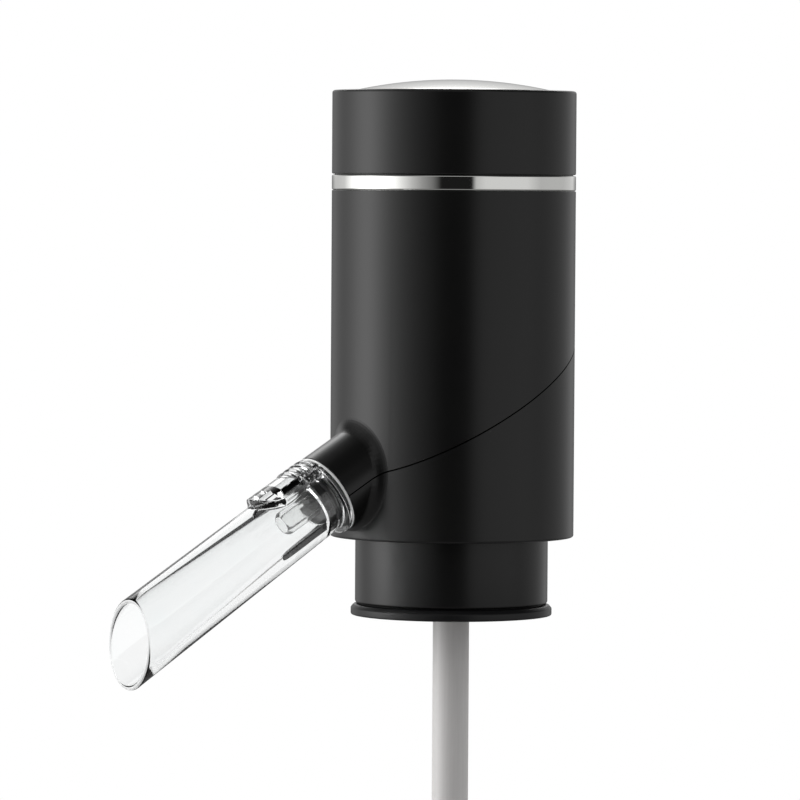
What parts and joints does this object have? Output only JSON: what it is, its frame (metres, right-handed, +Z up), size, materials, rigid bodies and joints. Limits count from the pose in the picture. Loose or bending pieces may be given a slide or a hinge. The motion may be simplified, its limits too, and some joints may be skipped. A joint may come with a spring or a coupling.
{
  "type": "electric wine dispenser",
  "caption": "Round black battery-powered wine dispenser with a push-button twist cap, slanted clear spout, bottle-neck collar and telescopic suction tube.",
  "frame": {"origin": "middle of the soft seat inside the neck collar, where the rim of a bottle's mouth rests", "axes": "+Z up along the body's axis, away from the bottle; the spout points towards -Y and slopes down"},
  "size_m": [0.055, 0.1129, 0.2524],
  "materials": {
    "black_abs": "fine matt soft-touch black",
    "chromed_abs": "bright chrome plating",
    "silicone": "black silicone rubber",
    "clear_plastic": "polished clear plastic",
    "pale_nozzle": "milky silicone",
    "grey_tube": "satin grey plastic tube",
    "grey_fitting": "satin dark grey plastic",
    "dark_nylon": "moulded dark nylon",
    "white_acetal": "moulded white acetal",
    "cell_jacket": "plain wrapped battery cell",
    "spring_steel": "nickel-plated spring steel",
    "screw_steel": "zinc-plated screw",
    "motor_steel": "zinc-plated pressed steel",
    "ferrite": "dull sintered ferrite",
    "copper": "bare copper alloy",
    "board_green": "solder-masked circuit board"
  },
  "bodies": {
    "body": {"upper_shell": "black_abs", "lower_shell": "black_abs", "trim_ring": "chromed_abs", "battery_holder": "dark_nylon", "cell_1": "cell_jacket", "cell_2": "cell_jacket", "cell_3": "cell_jacket", "cell_4": "cell_jacket", "cell_5": "cell_jacket", "cell_6": "cell_jacket", "contact_strip_1": "spring_steel", "contact_strip_2": "spring_steel", "contact_strip_3": "spring_steel", "frame_screws": "screw_steel", "collar_screws": "screw_steel", "motor_can": "motor_steel", "motor_magnets": "ferrite", "motor_end_bell": "dark_nylon", "motor_terminals": "copper", "diaphragm": "silicone", "pump_housing": "white_acetal", "valve_plate": "white_acetal", "outlet_valve": "silicone", "pump_cover": "white_acetal", "air_tube": "pale_nozzle", "wine_manifold": "black_abs", "aerator_nozzle": "pale_nozzle", "spout_oring": "silicone", "neck_collar": "black_abs", "bottle_seal": "silicone", "suction_tube": "grey_tube", "tube_guide": "grey_fitting"},
    "cap": {"top_cap": "black_abs", "button_spring": "spring_steel", "switch_body": "dark_nylon", "contact_board": "board_green", "board_pads": "copper", "board_screws": "screw_steel"},
    "button": {"button_dome": "chromed_abs", "switch_plunger": "white_acetal"},
    "spout": {"spout": "clear_plastic"},
    "inner_tube": {"inner_tube": "grey_tube", "intake_foot": "grey_fitting"},
    "rotor": {"rotor": "motor_steel", "crank": "white_acetal"},
    "wobble": {"wobble_plate": "white_acetal"}
  },
  "joints": [
    {"name": "cap_twist", "type": "hinge", "parent": "body", "child": "cap", "pos_m": [0, 0, 0.0859], "axis": [0, 0, 1], "range_deg": [0, 45]},
    {"name": "button_press", "type": "slide", "parent": "cap", "child": "button", "axis": [0, 0, -1], "range_m": [0, 0.0008], "stiffness_N_per_m": 1500, "springref_m": -0.001, "deforming": ["button_spring"]},
    {"name": "spout_pull", "type": "slide", "parent": "body", "child": "spout", "axis": [0, -0.866, -0.5], "range_m": [0, 0.006]},
    {"name": "tube_extend", "type": "slide", "parent": "body", "child": "inner_tube", "axis": [0, 0, -1], "range_m": [0, 0.128]},
    {"name": "motor_spin", "type": "hinge", "parent": "body", "child": "rotor", "pos_m": [0, 0, 0.0625], "axis": [0, 0, 1], "continuous": true},
    {"name": "wobble_turn", "type": "hinge", "parent": "rotor", "child": "wobble", "pos_m": [0, 0, 0.0516], "axis": [0.1045, 0, 0.9945], "continuous": true}
  ],
  "couplings": [
    {"joint": "wobble_turn", "follows": "motor_spin", "ratio": -1}
  ]
}
